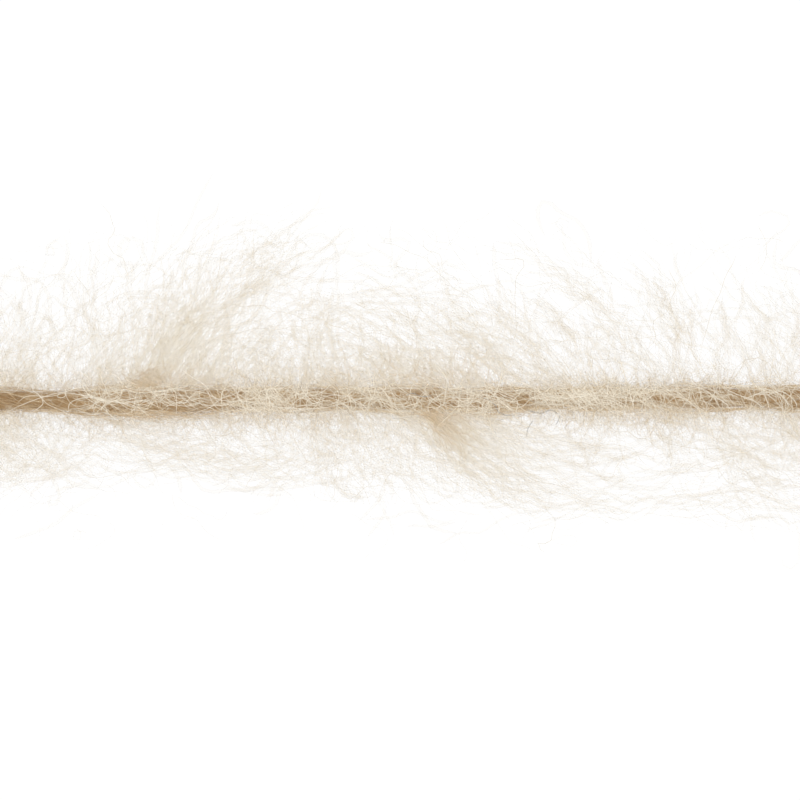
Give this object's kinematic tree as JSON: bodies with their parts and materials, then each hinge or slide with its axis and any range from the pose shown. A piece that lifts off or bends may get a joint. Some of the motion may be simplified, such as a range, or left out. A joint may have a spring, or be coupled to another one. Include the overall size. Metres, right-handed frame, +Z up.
{
  "type": "brushed knitting yarn",
  "caption": "Short cut length of thin twisted knitting yarn with a long, soft brushed pile, lying straight and spread flat on a surface.",
  "frame": {"origin": "on the surface that the yarn lies on, under the middle of the strand", "axes": "+X along the strand, +Y across it on the surface, +Z up, away from the surface"},
  "size_m": [0.04, 0.0114, 0.0019],
  "materials": {
    "brushed_fibre": "undyed cream wool-like fibre, soft, matt with a faint sheen"
  },
  "bodies": {
    "root": {"yarn": "brushed_fibre"}
  },
  "joints": []
}
